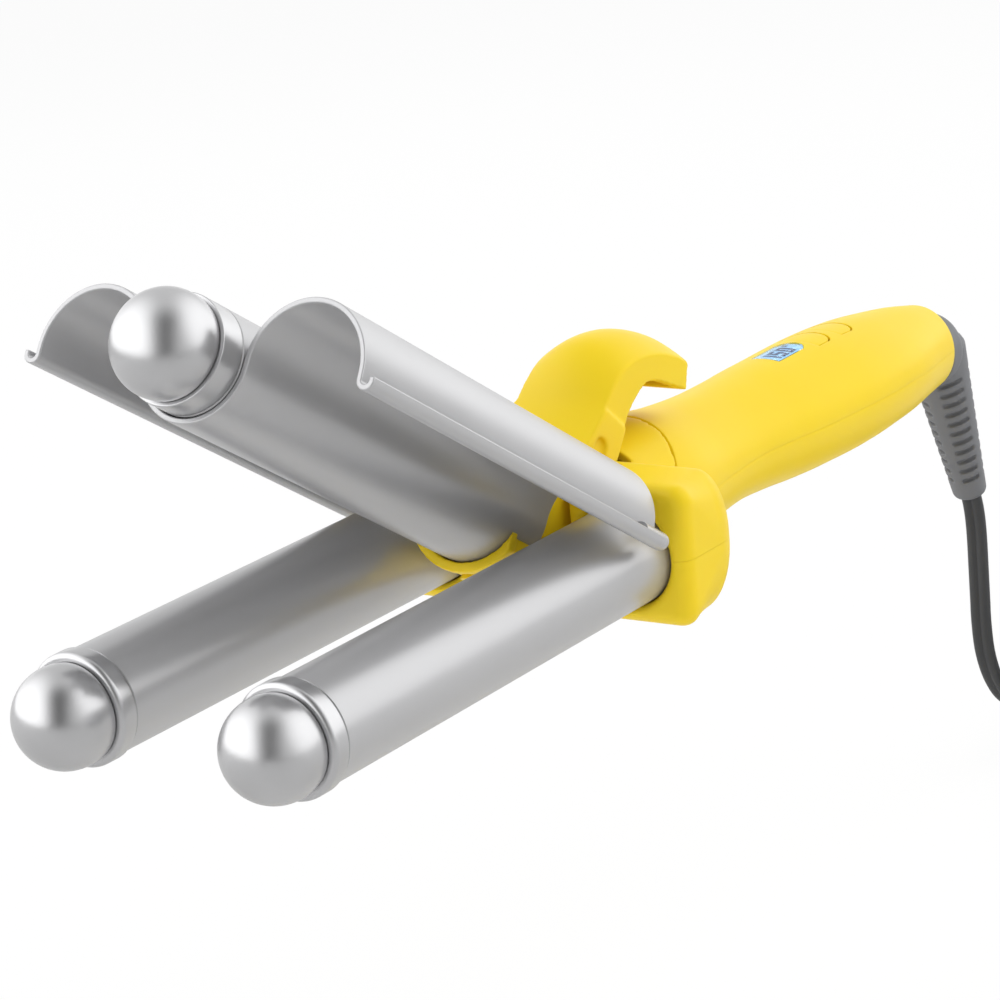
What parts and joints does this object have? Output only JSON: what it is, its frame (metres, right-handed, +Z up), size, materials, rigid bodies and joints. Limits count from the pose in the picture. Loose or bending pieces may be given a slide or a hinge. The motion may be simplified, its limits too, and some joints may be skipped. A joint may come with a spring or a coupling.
{
  "type": "hair waver",
  "caption": "Hair waver: round heated barrels under a sprung clamp that carries a middle barrel and a wave-shaped plate, on a swelling handle with a swivel cord.",
  "frame": {"origin": "middle of the hand grip, on the plane of the fixed barrels' axes", "axes": "+Y from the barrels' tips along the handle to its tail, +Z up through the clamp, +X to the right seen from the tips' opposite end"},
  "size_m": [0.1435, 0.5621, 0.2448],
  "materials": {
    "barrel_coating": "satin silver coating",
    "tip_paint": "satin silver paint",
    "yellow_plastic": "satin moulded",
    "grey_rubber": "matt",
    "steel": "plated",
    "aluminium": "as extruded",
    "brass": "plated",
    "board": "solder mask",
    "display": "backlit",
    "window_clear": "polished",
    "dark_plastic": "moulded"
  },
  "bodies": {
    "root": {"barrel_left": "barrel_coating", "barrel_right": "barrel_coating", "collar_left": "tip_paint", "collar_right": "tip_paint", "tip_left": "tip_paint", "tip_right": "tip_paint", "heater_left": "aluminium", "heater_right": "aluminium", "hinge_pin": "steel", "torsion_spring": "steel", "housing_upper": "yellow_plastic", "housing_lower": "yellow_plastic", "housing_screw_left": "steel", "housing_screw_right": "steel", "handle_upper": "yellow_plastic", "handle_lower": "yellow_plastic", "handle_screw_front": "steel", "handle_screw_rear": "steel", "circuit_board": "board", "display_module": "display", "display_window": "window_clear", "power_switch": "dark_plastic", "temperature_switch": "dark_plastic", "swivel_washer": "brass", "cord": "grey_rubber", "cord_coil": "grey_rubber", "cord_tail": "grey_rubber", "cord_tie": "dark_plastic", "plug_body": "grey_rubber", "plug_blade_left": "brass", "plug_blade_right": "brass"},
    "clamp": {"wave_plate": "barrel_coating", "barrel_centre": "barrel_coating", "band_centre": "tip_paint", "tip_centre": "tip_paint", "heater_centre": "aluminium", "clamp_lever": "yellow_plastic", "clamp_screw": "steel"},
    "power_button": {"power_button": "yellow_plastic"},
    "temperature_button": {"temperature_button": "yellow_plastic"},
    "swivel": {"swivel_hub": "dark_plastic", "cord_boot": "grey_rubber"}
  },
  "joints": [
    {"name": "clamp_hinge", "type": "hinge", "parent": "root", "child": "clamp", "pos_m": [0, -0.15095, 0.0132], "axis": [1, 0, 0], "range_deg": [-3, 31.85]},
    {"name": "power_press", "type": "slide", "parent": "root", "child": "power_button", "axis": [0, 0, -1], "range_m": [0, 0.0008], "stiffness_N_per_m": 800},
    {"name": "temperature_press", "type": "slide", "parent": "root", "child": "temperature_button", "axis": [0, 0, -1], "range_m": [0, 0.0008], "stiffness_N_per_m": 800},
    {"name": "cord_swivel", "type": "hinge", "parent": "root", "child": "swivel", "pos_m": [0, 0.052, -0.0048], "axis": [0, 1, 0], "continuous": true}
  ]
}
